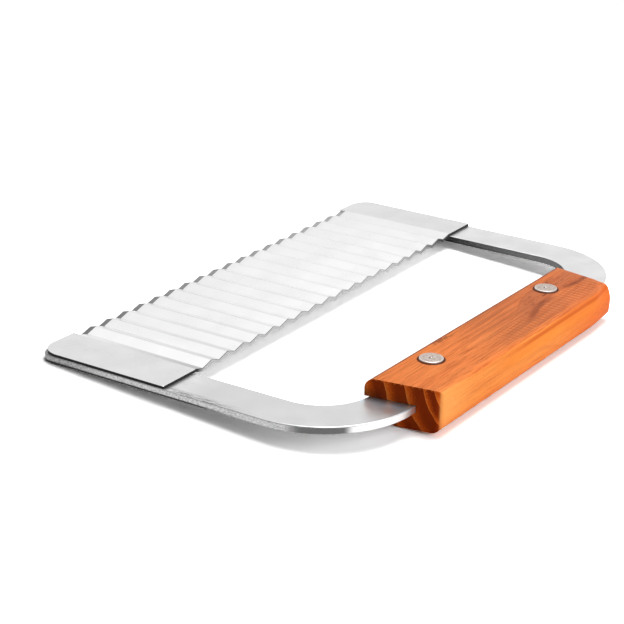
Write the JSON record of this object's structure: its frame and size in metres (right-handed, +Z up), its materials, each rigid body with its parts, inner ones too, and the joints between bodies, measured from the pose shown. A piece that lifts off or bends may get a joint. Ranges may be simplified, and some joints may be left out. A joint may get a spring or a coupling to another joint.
{
  "type": "soap cutter",
  "caption": "Hand cutter with a wavy steel blade held across a U of flat steel bar, and a riveted wooden handle, for slicing bars of soap with a rippled face.",
  "frame": {"origin": "middle of the tool's bounding box, at the surface that it lies on", "axes": "+X along the blade, from the end shown nearest in the picture to the far end; +Y towards the cutting edge; +Z up from the surface it lies on"},
  "size_m": [0.1812, 0.1234, 0.0144],
  "materials": {
    "blade_steel": "bright pressed stainless sheet",
    "frame_steel": "satin flat bar with a tumbled edge",
    "handle_wood": "oiled reddish wood, sawn and sanded",
    "rivet_metal": "hammered bright rivet",
    "weld_steel": "fused spot weld, hidden"
  },
  "bodies": {
    "root": {"blade": "blade_steel", "frame": "frame_steel", "handle": "handle_wood", "rivet_near": "rivet_metal", "rivet_far": "rivet_metal", "spot_welds_near": "weld_steel", "spot_welds_far": "weld_steel"}
  },
  "joints": []
}
